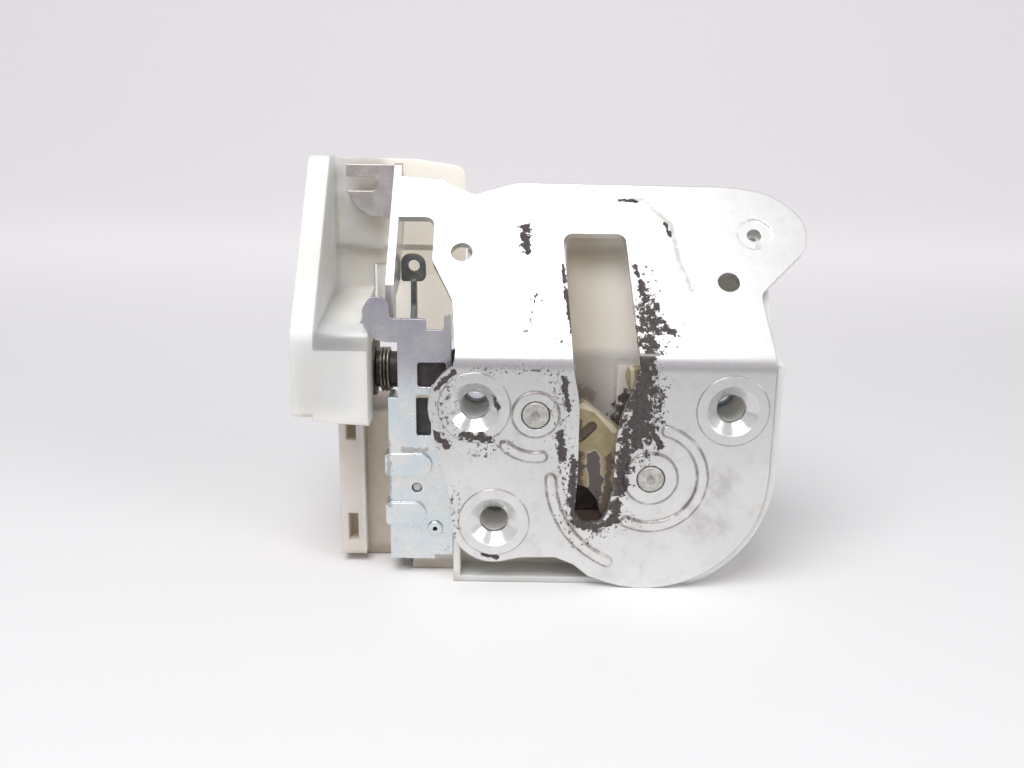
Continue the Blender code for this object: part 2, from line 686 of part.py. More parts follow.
def back_plate():
    """Flat steel plate across the back of the main moulding, with a tapped collar for each screw."""
    near = HOUSING_BACK + CLEAR
    far = near + BACK_SHEET
    corners = [
        (-33.5, -33.0, 10), (-14.0, -44.0, 14), (28.0, -46.0, 30), (61.0, -28.0, 30), (64.0, 24.0, 12),
        (42.0, 26.5, 6), (-33.5, 26.5, 8),
    ]
    plate = slab("back_plate", rounded(corners), near, far)
    for i, centre in enumerate((SCREW_A, SCREW_B, SCREW_C)):
        collar = [(COLLAR_RADIUS + 0.8, near + 1), (COLLAR_RADIUS + 0.4, far), (COLLAR_RADIUS, far + COLLAR_LENGTH)]
        join(plate, cone(f"collar_{i}", centre, collar))
        cut(plate, drum(f"thread_{i}", centre, COLLAR_BORE, near - 1, far + COLLAR_LENGTH + 1))
    for i, centre in enumerate((FORK, PAWL)):
        cut(plate, drum(f"back_rivet_{i}", centre, RIVET_NECK + CLEAR, near - 1, far + 1))
    return plate


# Lever bracket and what it carries

def bracket_front():
    """Front view of the bracket, with the notch at its left that the tongue is folded from."""
    ear = [(-57.0, BRACKET_TOP, 1), (-57.4, 44.5, 2), (-59.6, 46.8, 3), (-63.4, 46.2, 3), (-65.7, 42.6, 3), (-65.5, 37.0, 3)]
    step = [(-39.6, 36.0, 1), (-45.3, 36.0), (-45.3, BRACKET_TOP, 1)]
    lug = [(BRACKET_RIGHT - 0.4, 24.0), (BRACKET_RIGHT - 0.4, 41.0, 1), (-39.6, 41.0, 1)]
    notch = [(-62.0, 32.6, 3), (-58.0, 31.8), (TONGUE_X, 31.8), (TONGUE_X, 13.3), (BRACKET_LEFT, 13.3)]
    foot = [(BRACKET_LEFT, BRACKET_BOTTOM), (-43.0, BRACKET_BOTTOM), (-43.0, -42.0), (BRACKET_RIGHT, -42.0)]
    return rounded(foot + lug + step + ear + notch)


def lever_bracket():
    near = BRACKET_FAR - BRACKET_SHEET
    windows = [
        rounded([(-48.3, 17.0, 1), (-38.9, 17.0, 1), (-38.9, 25.3, 1), (-48.3, 25.3, 1)]),
        rounded([(-48.8, 0.4, 1), (-44.0, 0.4, 1), (-44.0, 14.5, 1), (-48.8, 14.5, 1)]),
        circle(LOCATOR, LOCATOR_RADIUS + 0.35, 16),
        circle(LOCK_PIVOT, EYELET_SHANK + CLEAR, 20),
    ]
    plate = slab("lever_bracket", bracket_front(), near, BRACKET_FAR, holes=windows)
    back = BOX_FRONT - RUN
    side = [
        (near, BRACKET_BOTTOM), (back, BRACKET_BOTTOM), (back, BOX_TOP + 0.6), (34.0, BOX_TOP + 0.6), (34.0, 8.4),
        (22.0, 8.4), (19.0, 13.3), (near, 13.3),
    ]
    join(plate, slab("bracket_side", side, BRACKET_LEFT, BRACKET_LEFT + BRACKET_SHEET, "YZ"))
    tongue = rounded([
        (near, 24.0), (16.5, 24.0, 4), (24.0, 11.0, 5), (PIN_Y + 5, 10.6, 5), (PIN_Y + 7, 22.0, 6), (30.0, 28.5, 8),
        (16.0, 31.8, 4), (near, 31.8),
    ])
    bore = circle((PIN_Y, PIN_Z), PIN_RADIUS + CLEAR)
    join(plate, slab("tongue", tongue, TONGUE_X, TONGUE_X + BRACKET_SHEET, "YZ", [bore]))
    for i, (low, high, right) in enumerate(((-13.4, -5.8, -43.8), (-30.8, -23.0, -45.9))):
        left = BRACKET_LEFT - GUSSET_PROUD
        corners = [(left, low, 1), (right, low, 3.6), (right, high, 3.6), (left, high, 1)]
        join(plate, slab(f"gusset_{i}", rounded(corners), near - GUSSET_PROUD, near + BRACKET_SHEET / 2))
        edge = (left, near - GUSSET_PROUD + 0.4, low + 0.4), (BRACKET_LEFT + BRACKET_SHEET / 2, near + 6, high - 0.4)
        join(plate, block(f"gusset_side_{i}", *edge))
    return plate


def bracket_rivet():
    """Hollow eyelet through the bracket and the lock lever into the housing's seat."""
    near = BRACKET_FAR - BRACKET_SHEET - CLEAR
    return turned("bracket_rivet", [
        (0.8, near - 0.5), (EYELET_HEAD - 0.3, near - 0.7), (EYELET_HEAD, near - 0.3), (EYELET_HEAD, near),
        (EYELET_SHANK, near), (EYELET_SHANK, near + 9.0), (0.8, near + 9.0),
    ], LOCK_PIVOT, steps=20)


def lock_lever():
    near = BRACKET_FAR + RUN
    x, z = LOCK_PIVOT
    outline = rounded([
        (x - 3.6, z - 3.6, 3), (x + 3.6, z - 3.6, 3), (x + 3.2, z + 8, 4), (x + 1.8, -12.0, 8), (-44.2, 0.0, 8),
        (-44.2, LOCK_TOP, 1), (-49.0, LOCK_TOP, 1), (-49.0, -2.0, 4), (x - 2.4, -13.0, 8), (x - 2.6, z + 8, 4),
    ])
    return slab("lock_lever", outline, near, near + LOCK_THICK, holes=[circle(LOCK_PIVOT, EYELET_SHANK + CLEAR, 20)])


def lever_places():
    """Left and right end in X of each piece along the cross pin, from the tongue outwards."""
    tongue_right = TONGUE_X + BRACKET_SHEET
    inner = (tongue_right + CLEAR, tongue_right + CLEAR + LEVER_SHEET)
    bush = (TONGUE_X - CLEAR - BUSH_LENGTH, TONGUE_X - CLEAR)
    outer = (bush[0] - CLEAR - LEVER_SHEET, bush[0] - CLEAR)
    return {"inner": inner, "bush": bush, "outer": outer}


def inner_lever():
    """Release lever: a hub, a foot under the lift lever and an arm up to the rod's eye."""
    left, right = lever_places()["inner"]
    front = LIFT_NEAR
    corners = [
        (front, FOOT_TOP - 2, 0.5), (21.0, 12.6, 4), (PIN_Y - 3, 9.2, 6), (PIN_Y + 7, 11.0, 6), (PIN_Y + 8, 22.0, 8),
        (41.4, 38.0, 4), (41.0, 48.2, 2), (37.0, 48.2, 2), (36.4, 39.0, 4), (27.5, 24.6, 6), (19.0, 17.6, 4),
        (front + LIFT_THICK + 1.2, FOOT_TOP, 1), (front, FOOT_TOP, 0.5),
    ]
    bore = circle((PIN_Y, PIN_Z), PIN_RADIUS + CLEAR)
    lever = slab("inner_lever", rounded(corners), left, right, "YZ", [bore])
    join(lever, block("foot", (left, front, FOOT_TOP - 2), (left + 7.0, front + LIFT_THICK, FOOT_TOP)))
    eye = (-51.8, 52.2)
    tab = rounded([(WALL_X + CLEAR, 46.8, 1), (-47.8, 46.8, 2), (-47.8, 56.2, 4), (WALL_X + CLEAR, 56.2, 3)])
    return join(lever, slab("eye_tab", tab, 37.4, 37.4 + LEVER_SHEET, holes=[circle(eye, EYE_RADIUS, 20)]))


def outer_lever():
    """Disc with an arm up and back, on the outer end of the cross pin."""
    left, right = lever_places()["outer"]
    hub = arc((PIN_Y, PIN_Z), OUTER_HUB, 75, 345)
    outline = hub + rounded([(PIN_Y + 12.5, 30.0, 6), (43.5, 36.5, 3), (38.5, 38.5, 3), (34.5, 30.0, 6)])
    return slab("outer_lever", outline, left, right, "YZ", [circle((PIN_Y, PIN_Z), PIN_RADIUS + CLEAR)])


def lever_bushing():
    left, right = lever_places()["bush"]
    profile = [(PIN_RADIUS + CLEAR, left), (BUSH_RADIUS, left), (BUSH_RADIUS, right), (PIN_RADIUS + CLEAR, right)]
    return turned("lever_bushing", profile, (PIN_Y, PIN_Z), "X")


def lever_pin():
    """Cross pin with a head at each end."""
    places = lever_places()
    left = places["outer"][0] - CLEAR
    right = places["inner"][1] + CLEAR
    return turned("lever_pin", [
        (0, left - PIN_HEAD_THICK), (PIN_HEAD - 0.4, left - PIN_HEAD_THICK), (PIN_HEAD, left), (PIN_RADIUS, left),
        (PIN_RADIUS, right), (PIN_HEAD, right), (PIN_HEAD - 0.4, right + PIN_HEAD_THICK), (0, right + PIN_HEAD_THICK),
    ], (PIN_Y, PIN_Z), "X")


# Side cover

def side_cover():
    """White moulding over the lever side: a leaning band, a box below it and a wall across the back."""
    back = COVER_BACK + COVER_WALL
    band_right = COVER_LEFT + COVER_BAND
    leaning = rounded([
        (COVER_FRONT, 7.0, 2), (back, 7.0), (back, COVER_TOP, 3), (46.5, COVER_TOP, 4), (COVER_FRONT, COVER_SHOULDER, 6),
    ])
    cover = slab("side_cover", leaning, COVER_LEFT, band_right, "YZ")
    rear = COVER_BACK + 1.0
    lower = rounded([(COVER_FRONT + INSET, 4.3, 2), (rear, 4.3), (rear, 42.0), (COVER_FRONT + INSET, COVER_SHOULDER, 5)])
    join(cover, slab("panel", lower, band_right - 1.0, COVER_PANEL_RIGHT, "YZ"))
    wall = rounded([(band_right - 1, 36.0), (-35.0, 50.0, 4), (-35.0, 84.6, 4), (-52.0, 87.0, 4), (band_right - 1, 87.6)])
    join(cover, slab("rear_wall", wall, COVER_BACK, back))
    join(cover, block("rib", (band_right - 1, COVER_BACK - 2.4, 55.4), (-46.0, COVER_BACK + 1, 57.2)))
    slant = [(COVER_LEFT - 5, -5.0), (COVER_PANEL_RIGHT + 5, -5.0), (COVER_PANEL_RIGHT + 5, 3.9), (COVER_LEFT - 5, 7.6)]
    cut(cover, slab("slant", slant, -5, 90))
    relief = lever_places()["outer"][0] - CLEAR - PIN_HEAD_THICK - CLEAR
    cut(cover, block("lever_relief", (relief, 18.0, 0), (COVER_PANEL_RIGHT + 2, COVER_BACK + 5, 50)))
    inside = (COVER_LEFT + COVER_WALL, COVER_FRONT + COVER_WALL, 10.0), (relief - COVER_WALL, back + 2, 31.5)
    cut(cover, block("panel_hollow", *inside))
    upper = [(46.0, 82.0), (back + 2, 82.0), (back + 2, 36.0), (14.5, 36.0), (14.5, 41.5)]
    cut(cover, slab("band_hollow", upper, COVER_LEFT + COVER_WALL, band_right - COVER_WALL, "YZ"))
    return cover


# Looks and grouping

FINISHES = {
    "plate": ((0.72, 0.73, 0.71), 0.38, 0.85),
    "zinc": ((0.50, 0.50, 0.53), 0.32, 0.95),
    "steel": ((0.42, 0.41, 0.39), 0.40, 0.95),
    "white": ((0.80, 0.78, 0.71), 0.45, 0.0),
    "yellow": ((0.62, 0.55, 0.26), 0.40, 0.0),
    "black": ((0.03, 0.03, 0.03), 0.45, 0.0),
    "brown": ((0.22, 0.16, 0.11), 0.55, 0.4),
    "dark": ((0.05, 0.06, 0.06), 0.40, 0.6),
    "rubber": ((0.02, 0.02, 0.02), 0.80, 0.0),
}


def finish(thing, look):
    material = bpy.data.materials.get(look)
    if material is None:
        colour, roughness, metallic = FINISHES[look]
        material = bpy.data.materials.new(look)
        material.use_nodes = True
        shader = material.node_tree.nodes["Principled BSDF"]
        shader.inputs["Base Color"].default_value = (*colour, 1)
        shader.inputs["Roughness"].default_value = roughness
        shader.inputs["Metallic"].default_value = metallic
    thing.data.materials.clear()
    thing.data.materials.append(material)
    thing.data.shade_smooth()
    thing.data.set_sharp_from_angle(angle=math.radians(35))


def hinge(name, place, things):
    """An empty on the joint's axis, which carries what turns on it."""
    empty = bpy.data.objects.new(name, None)
    collection_of("sliding_door_lock").objects.link(empty)
    empty.location = Vector(place) * MM
    bpy.context.view_layer.update()
    for thing in things:
        thing.parent = empty
        thing.matrix_parent_inverse = empty.matrix_world.inverted()


def build():
    for thing in list(bpy.data.objects):
        bpy.data.objects.remove(thing)
    well = COIL_WELL - CLEAR
    made = {
        "plate": [face_plate()],
        "white": [latch_housing(), side_cover()],
        "zinc": [lever_bracket(), back_plate(), bracket_rivet()],
        "steel": [
            fork(), shouldered_pin("fork_pin", FORK, FORK_PIN_RADIUS), shouldered_pin("pawl_pin", PAWL, PAWL_PIN_RADIUS),
            pawl(), lever_pin(),
            coil("fork_spring", FORK, FORK_COIL, FORK_WIRE, FORK_NEAR + FORK_THICK + RUN, well, 4),
            coil("pawl_spring", PAWL, PAWL_COIL, PAWL_WIRE, LIFT_NEAR + LIFT_THICK + CLEAR, well, 3),
            coil("lever_spring", (PIN_Y, PIN_Z), LEVER_COIL, LEVER_WIRE, -63.2, -58.6, 3, "X"),
        ],
        "yellow": [fork_cover()],
        "black": [lift_lever(), lock_lever(), lever_bushing()],
        "brown": [outer_lever()],
        "dark": [inner_lever()],
        "rubber": [bump_stop()],
    }
    for look, things in made.items():
        for thing in things:
            finish(thing, look)
    find = bpy.data.objects.get
    hinge("fork_axis", (FORK[0], 0, FORK[1]), [find("fork"), find("fork_cover")])
    hinge("pawl_axis", (PAWL[0], 0, PAWL[1]), [find("pawl"), find("lift_lever")])
    hinge("lock_axis", (LOCK_PIVOT[0], 0, LOCK_PIVOT[1]), [find("lock_lever")])
    hinge("lever_axis", (0, PIN_Y, PIN_Z), [find("inner_lever"), find("outer_lever"), find("lever_bushing")])


build()
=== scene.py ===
"""Dresses the sliding door lock: smooth skins over its solids, worn finishes, a pale floor and a camera."""

import json
import math

import bpy
from mathutils import Matrix, Vector


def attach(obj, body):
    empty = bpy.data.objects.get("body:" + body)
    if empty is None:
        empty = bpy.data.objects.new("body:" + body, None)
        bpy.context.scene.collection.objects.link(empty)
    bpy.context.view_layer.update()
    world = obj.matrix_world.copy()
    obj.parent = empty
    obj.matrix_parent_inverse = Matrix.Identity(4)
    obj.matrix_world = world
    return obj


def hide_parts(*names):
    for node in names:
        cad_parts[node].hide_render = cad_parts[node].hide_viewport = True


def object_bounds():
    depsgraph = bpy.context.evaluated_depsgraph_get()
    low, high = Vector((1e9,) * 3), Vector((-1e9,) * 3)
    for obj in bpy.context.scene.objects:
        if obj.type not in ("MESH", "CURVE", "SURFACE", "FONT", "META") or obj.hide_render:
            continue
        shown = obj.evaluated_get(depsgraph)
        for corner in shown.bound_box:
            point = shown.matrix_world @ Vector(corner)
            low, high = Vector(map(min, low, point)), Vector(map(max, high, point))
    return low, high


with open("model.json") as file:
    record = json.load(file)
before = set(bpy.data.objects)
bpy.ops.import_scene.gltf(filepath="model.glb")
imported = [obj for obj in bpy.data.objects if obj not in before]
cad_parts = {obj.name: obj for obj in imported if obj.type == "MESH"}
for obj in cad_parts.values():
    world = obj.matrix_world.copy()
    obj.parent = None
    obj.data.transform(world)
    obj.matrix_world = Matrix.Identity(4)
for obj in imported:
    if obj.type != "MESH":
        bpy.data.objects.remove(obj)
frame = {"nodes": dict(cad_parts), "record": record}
CAD_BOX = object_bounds()

bl_info = {
    "name": "Sliding door lock",
    "version": (1, 0, 0),
    "blender": (4, 5, 0),
    "location": "3D View > Sidebar > Door Lock",
    "description": "Builds the looks of a worn sliding door lock",
    "category": "Object",
}

# Sizes and places on the lock are in millimetres. The flange's face leans back from its foot, at FLANGE_Y
# and FLANGE_Z, and the pins and screws are at (x, z).
LEAN = math.radians(41.0)
FLANGE_Y = 1.594
FLANGE_Z = 30.564
FORK = (27.5, -10.0)
PAWL = (-10.0, 11.0)
SCREWS = ((-29.5, 13.0), (52.5, 13.0), (-23.0, -26.0))

# Pressed beads as centre, radius and the two angles of their ends, and pressed rings as centre and radius
BEADS = ((FORK, 16.7, -116, 74), (FORK, 32.2, 181, 246), (PAWL, 14.2, 228, 279))
BEAD_HALF = 1.65
RINGS = ((FORK, 8.7), (PAWL, 7.5))
SEAT_RADIUS = 8.0
LAND_RADIUS = 11.5

# Corners of the lower part of the cover's rear wall, and how round its edges are
APRON = ((-67.0, 55.3, 22.0), (-37.0, 56.7, 53.0))
APRON_ROUND = 0.4

# How the CAD meshes are merged, in metres, and smoothed, in radians
MERGE_BELOW = 0.000001
FLAT_BELOW = math.radians(0.2)
SMOOTH_BELOW = math.radians(32)

# Stage, in metres and radians
FLOOR_SIZE = 4.0
FLOOR_STRETCH = 3.0
WALL_HEIGHT = 3.0
SWEEP_RADIUS = 0.8
SWEEP_STEPS = 16
LAMP_TARGET = (0, 0, 0.02)
CAMERA_PLACE = (-0.01765, -0.300, 0.1042)
CAMERA_DIP = math.radians(15.5)
CAMERA_ROLL = math.radians(0.8)

# Lamps, each with its place, width and share of the lamp power
LAMPS = {"lamp_above": ((-0.25, -0.45, 0.95), 0.8, 1.0), "lamp_side": ((0.75, -0.55, 0.45), 0.5, 0.25)}

# The sky's colour as a light, and its colour where it is seen
SKY_LIGHT = (0.98, 0.98, 1.0, 1.0)
SKY_SEEN = (0.76, 0.74, 0.77, 1.0)


# Shader maths

class Value:
    """A shader socket that takes part in expressions, in which each operation adds its node."""

    def __init__(self, graph, socket):
        self.graph = graph
        self.socket = socket

    def _with(self, operation, other, swap=False):
        first, second = (other, self) if swap else (self, other)
        return self.graph.node("ShaderNodeMath", {"operation": operation}, {0: first, 1: second})

    def __add__(self, other):
        return self._with("ADD", other)

    def __sub__(self, other):
        return self._with("SUBTRACT", other)

    def __mul__(self, other):
        return self._with("MULTIPLY", other)

    def __truediv__(self, other):
        return self._with("DIVIDE", other)

    def __rsub__(self, other):
        return self._with("SUBTRACT", other, True)

    __radd__ = __add__
    __rmul__ = __mul__

    def least(self, other):
        return self._with("MINIMUM", other)

    def most(self, other):
        return self._with("MAXIMUM", other)

    def size(self):
        return self.graph.node("ShaderNodeMath", {"operation": "ABSOLUTE"}, {0: self})

    def root(self):
        return self.graph.node("ShaderNodeMath", {"operation": "SQRT"}, {0: self.most(0.0)})

    def between(self, low, high):
        """0 below low and 1 above high with a smooth change, or the other way round if low is larger."""
        settings = {"interpolation_type": "SMOOTHSTEP", "clamp": True}
        return self.graph.node("ShaderNodeMapRange", settings, {0: self, 1: low, 2: high, 3: 0.0, 4: 1.0})


class Graph:
    """A node tree, to which each call adds a node."""

    def __init__(self, tree):
        self.tree = tree

    def node(self, kind, settings, inputs, output=0):
        """Adds a node with its settings and inputs (numbers, colours or values) and returns one output."""
        node = self.tree.nodes.new(kind)
        for key, value in settings.items():
            setattr(node, key, value)
        for key, value in inputs.items():
            if isinstance(value, Value):
                self.tree.links.new(value.socket, node.inputs[key])
            else:
                node.inputs[key].default_value = value
        return Value(self, node.outputs[output])

    def seen(self):
        """1 for what the camera sees, also in a mirror or through glass, and 0 for other light."""
        kinds = ("Camera", "Glossy", "Transmission")
        rays = [self.node("ShaderNodeLightPath", {}, {}, f"Is {kind} Ray") for kind in kinds]
        return (rays[0] + rays[1] + rays[2]).least(1.0)


class Finish(Graph):
    """The node tree of one material, with the part's own coordinates in millimetres."""

    def __init__(self, name):
        self.material = bpy.data.materials.new(name)
        self.material.use_nodes = True
        super().__init__(self.material.node_tree)
        self.shader = self.tree.nodes["Principled BSDF"]
        place = self.node("ShaderNodeTexCoord", {}, {}, "Object")
        self.place = self.node("ShaderNodeVectorMath", {"operation": "SCALE"}, {0: place, 3: 1000.0})
        split = self.tree.nodes.new("ShaderNodeSeparateXYZ")
        self.tree.links.new(self.place.socket, split.inputs[0])
        self.x, self.y, self.z = (Value(self, split.outputs[i]) for i in range(3))
        self.up = (self.y - FLANGE_Y) * math.sin(LEAN) + (self.z - FLANGE_Z) * math.cos(LEAN)

    def noise(self, size, detail, roughness, stretch=(1, 1, 1)):
        """Noise whose lumps are about size millimetres across."""
        place = self.node("ShaderNodeVectorMath", {"operation": "MULTIPLY"}, {0: self.place, 1: stretch})
        inputs = {"Vector": place, "Scale": 1.0 / size, "Detail": detail, "Roughness": roughness}
        return self.node("ShaderNodeTexNoise", {}, inputs, 0)

    def zone(self, fades):
        """1 inside all the fades, each an axis with the place where it is 0 and the place where it is 1."""
        axes = {"x": self.x, "y": self.y, "z": self.z}
        inside = None
        for axis, low, high in fades:
            here = axes[axis].between(low, high)
            inside = here if inside is None else inside * here
        return inside

    def patch(self, a, b, centre, reach, soft):
        """1 inside an ellipse in the two coordinates, fading out at its edge."""
        da = (a - centre[0]) / reach[0]
        db = (b - centre[1]) / reach[1]
        return (da * da + db * db).root().between(1.0 + soft, 1.0 - soft)

    def reach(self, a, b, centre):
        """How far the point (a, b) lies from a centre."""
        da, db = a - centre[0], b - centre[1]
        return (da * da + db * db).root()

    def distance(self, a, b, start, end):
        """How far the point (a, b) lies from a straight stroke."""
        run = Vector(end) - Vector(start)
        length = run.length
        da, db = a - start[0], b - start[1]
        along = (da * (run.x / length) + db * (run.y / length)).most(0.0).least(length)
        da, db = da - along * (run.x / length), db - along * (run.y / length)
        return (da * da + db * db).root()

    def arc_distance(self, a, b, centre, radius, start, stop):
        """How far the point (a, b) lies from an arc between two angles in degrees."""
        middle, half = math.radians(start + stop) / 2, math.radians(stop - start) / 2
        da, db = a - centre[0], b - centre[1]
        u = da * math.cos(middle) + db * math.sin(middle)
        v = db * math.cos(middle) - da * math.sin(middle)
        angle = self.node("ShaderNodeMath", {"operation": "ARCTAN2"}, {0: v, 1: u}).most(-half).least(half)
        du = u - self.node("ShaderNodeMath", {"operation": "COSINE"}, {0: angle}) * radius
        dv = v - self.node("ShaderNodeMath", {"operation": "SINE"}, {0: angle}) * radius
        return (du * du + dv * dv).root()

    def smear(self, a, b, strokes):
        """1 on the nearest of the strokes, 0 at its reach and less than 0 beyond."""
        deep = None
        for first, last, reach in strokes:
            here = 1.0 - self.distance(a, b, first, last) / reach
            deep = here if deep is None else deep.most(here)
        return deep

    def ragged(self, deep, size, amount):
        """1 over most of a smear, with lumps as its edge and loose crumbs round it."""
        return (deep + (self.noise(size, 6.0, 0.72) - 0.5) * amount).between(0.26, 0.44)

    def blend(self, factor, first, second):
        """A colour that goes from first to second as the factor goes from 0 to 1."""
        colour = [c if isinstance(c, Value) else (*c, 1.0) for c in (first, second)]
        settings = {"data_type": "RGBA", "clamp_factor": True}
        return self.node("ShaderNodeMix", settings, {0: factor, 6: colour[0], 7: colour[1]}, 2)

    def finish(self, colour, roughness, metallic, bump, height, edge, **fixed):
        """Feeds the shader and rounds the edges in its normal. height and edge are in millimetres."""
        sockets = self.shader.inputs
        for name, value in (("Base Color", colour), ("Roughness", roughness), ("Metallic", metallic)):
            if isinstance(value, Value):
                self.tree.links.new(value.socket, sockets[name])
            else:
                sockets[name].default_value = value
        normal = self.node("ShaderNodeBevel", {"samples": 6}, {"Radius": edge / 1000.0})
        inputs = {"Strength": 0.8, "Distance": height / 1000.0, "Height": bump, "Normal": normal}
        normal = self.node("ShaderNodeBump", {}, inputs)
        self.tree.links.new(normal.socket, sockets["Normal"])
        for name, value in fixed.items():
            sockets[name.replace("_", " ").title()].default_value = value
        return self.material


# Finishes

# Each smear is a stroke from one point to another with the reach of its dirt, in millimetres.
# On the plate the points are (x, z), and on the flange they are (x, height up the slope).
PLATE_GRIME = (
    ((23.4, 17.0), (23.0, 6.0), 8.6), ((24.8, 30.0), (23.4, 18.0), 5.0), ((19.4, 5.0), (17.8, -14.0), 3.6),
    ((17.4, -14.0), (16.2, -24.0), 2.6), ((16.0, -25.0), (10.0, -27.6), 2.3),
    ((10.0, -27.6), (3.6, -25.6), 2.3),
    ((2.8, -23.0), (2.4, -4.0), 2.2), ((25.5, 9.0), (30.0, 1.0), 1.6), ((-2.2, 4.6), (-1.0, -3.0), 2.2),
    ((0.6, 13.0), (-1.4, 23.0), 1.5), ((-33.4, 3.8), (-24.6, 3.2), 2.0), ((-43.0, 4.4), (-38.4, 0.2), 1.9),
    ((-41.8, 19.0), (-36.0, 24.6), 1.2), ((-23.0, 16.5), (-22.0, 12.0), 1.2),
    ((-26.5, -37.4), (-22.0, -38.4), 1.0),
)
PLATE_CRUMBS = (
    ((-3.0, 24.0), (1.0, -26.0), 7.0), ((-38.0, 20.0), (-40.0, 2.0), 8.0),
    ((-30.0, 26.0), (-2.0, 25.0), 3.5),
    ((29.0, 24.0), (26.0, -4.0), 6.0), ((22.0, -24.0), (4.0, -34.0), 5.0),
    ((-36.0, -14.0), (-36.0, -30.0), 3.5),
    ((-30.0, -2.0), (-20.0, 0.0), 7.0),
)
FLANGE_GRIME = (
    ((24.4, 24.0), (25.4, 17.0), 2.2), ((25.4, 17.0), (27.4, 10.0), 4.6), ((24.6, 10.0), (26.0, -2.0), 4.2),
    ((22.4, 33.0), (24.0, 24.0), 1.2), ((31.0, 10.0), (34.0, 7.0), 1.6),
    ((-13.6, 47.0), (-13.6, 38.5), 2.3),
    ((-1.6, 33.0), (1.0, 8.0), 0.9), ((18.0, 59.0), (24.0, 58.6), 0.9), ((33.0, 50.0), (34.0, 45.0), 0.9),
)
FLANGE_CRUMBS = (
    ((24.0, 30.0), (29.0, 0.0), 9.0), ((-13.6, 48.0), (-13.6, 38.0), 5.0),
    ((-10.0, 22.0), (-13.0, 7.0), 3.0),
    ((-5.0, 8.0), (0.0, 0.0), 3.0),
)
RUB = ((-11, 57.3), (-6.3, 59.0), (26, 59.2), (34.8, 49.1), (36.7, 34.6), (40.1, 23.9))
TRACK = (((8.9, -5.0), (10.4, -12.0), 3.0), ((10.4, -12.0), (9.6, -19.0), 3.0))
JACKET_GREASE = (
    ((4.0, -16.0), (4.6, -4.0), 2.2), ((3.0, 7.0), (4.5, 2.0), 2.4), ((5.0, -24.0), (14.0, -23.0), 7.0),
    ((14.5, -4.0), (14.0, -18.0), 1.6),
)

# (x, z) strokes on the bracket, in the trough and along the rim of the fork's jacket
BRACKET_DIRT = (((-53.0, -4.6), (-46.0, -4.6), 1.2), ((-58.0, -2.0), (-58.0, -24.0), 1.0))
TROUGH_STAIN = (((1.0, 14.0), (9.0, 12.0), 3.0),)
TROUGH_LUMPS = (((20.0, 13.0), (18.0, 3.0), 3.6),)
JACKET_RIM = (
    ((4.0, 13.0), (9.5, 11.6), 1.3), ((9.5, 11.6), (15.6, 4.6), 1.3), ((20.6, 25.0), (21.0, 18.5), 0.8),
)

# Patches as (x, z) centre and half widths
PLATE_SHADES = (((46.0, -24.0), (7.0, 7.0)), ((50.0, -11.0), (5.0, 6.0)))
STEEL_OIL = ((8.0, 4.5), (5.0, 5.0))
TROUGH_SPAN = ((10.0, 14.0), (15.0, 60.0))
GREASE_SPAN = ((10.0, -20.0), (12.0, 14.0))

# Half widths of the dirt in a rivet's dimple
DIMPLE = (1.5, 1.5)

# Stretches along one axis, as the place where a tint starts and the place where it is full
# Painted shade up the face plate
PLATE_SHADE_RISE = (-30.0, 28.0)
# Painted light on the bracket below, painted shade above
ZINC_LIGHT_TO_SHADE = (14.0, 27.0)
TROUGH_WIDTH = (6.0, 18.0)
BEHIND_PLATE = (3.0, 4.0)
CREASE_DEPTH = (50.0, 53.0)
# Painted shade on the floor in front of the lock
FLOOR_SHADE = (-170.0, -360.0)
FLOOR_FAR = (100.0, 900.0)
FLOOR_NEAR = (-700.0, -1400.0)

# Where the cover's crease runs
CREASE_X = -80.6

# Zones, as such stretches along more axes
FOLD_SHADE = (("z", 24.6, 26.6), ("z", 30.2, 28.4))
# Painted shade on the cut front edge of the side wall
WALL_EDGE_SHADE = (("x", -57.2, -57.8), ("x", -60.0, -59.2), ("y", 9.0, 11.0), ("z", 30.0, 33.0))
# The cable tab, darker with rust and painted shade
CABLE_TAB = (("y", 44.0, 46.0), ("x", -55.0, -57.0))
LEVER_BOX = (("z", 6.0, 3.0), ("y", 19.0, 22.0))
BOX_FOOT = (("z", -44.0, -46.5), ("x", -30.0, -40.0))
BOX_CHEEK = (("z", 6.0, 3.0), ("x", -67.0, -69.0), ("y", 22.0, 19.0))
TROUGH = (("y", 6.0, 9.0), ("z", -24.0, -18.0))
TROUGH_FOOT = (("z", -10.0, -16.0), ("y", 4.0, 8.0))
COVER_REAR = (("y", 51.0, 53.0), ("x", -80.0, -70.0))
WINDOW_GLOW = (("y", 53.6, 54.8), ("y", 56.2, 55.6), ("x", -66.0, -60.0))

BLACK = (0.0, 0.0, 0.0)

# Shares of red, green and blue that are left where the moulding has yellowed
AGEING = (0.95, 0.92, 0.86)


def darker(colour, factor):
    return tuple(c * factor for c in colour)


def press_lines(g):
    """1 along the creases at the foot of the pressed beads and rings, and fainter round the screw lands."""
    edges = [(g.arc_distance(g.x, g.z, *bead) - BEAD_HALF).size() for bead in BEADS]
    edges += [(g.reach(g.x, g.z, centre) - radius).size() for centre, radius in RINGS]
    edges += [(g.reach(g.x, g.z, screw) - LAND_RADIUS).size() + 0.3 for screw in SCREWS]
    nearest = edges[0]
    for edge in edges[1:]:
        nearest = nearest.least(edge)
    return nearest.between(0.75, 0.2)


def plate_grime(g, flat, sloped):
    """1 where old grease covers the plate and its flange, in solid smears and in crumbs round them."""
    heavy = g.ragged(g.smear(g.x, g.z, PLATE_GRIME), 2.6, 4.2) * flat
    heavy = heavy.most(g.ragged(g.smear(g.x, g.up, FLANGE_GRIME), 2.4, 5.0) * sloped)
    crumbs = g.smear(g.x, g.z, PLATE_CRUMBS) * flat + g.smear(g.x, g.up, FLANGE_CRUMBS) * sloped
    crumbs = (g.noise(1.25, 5.0, 0.7) + crumbs.most(-0.2) * 0.14).between(0.665, 0.70)
    return heavy.most(crumbs * 0.9)


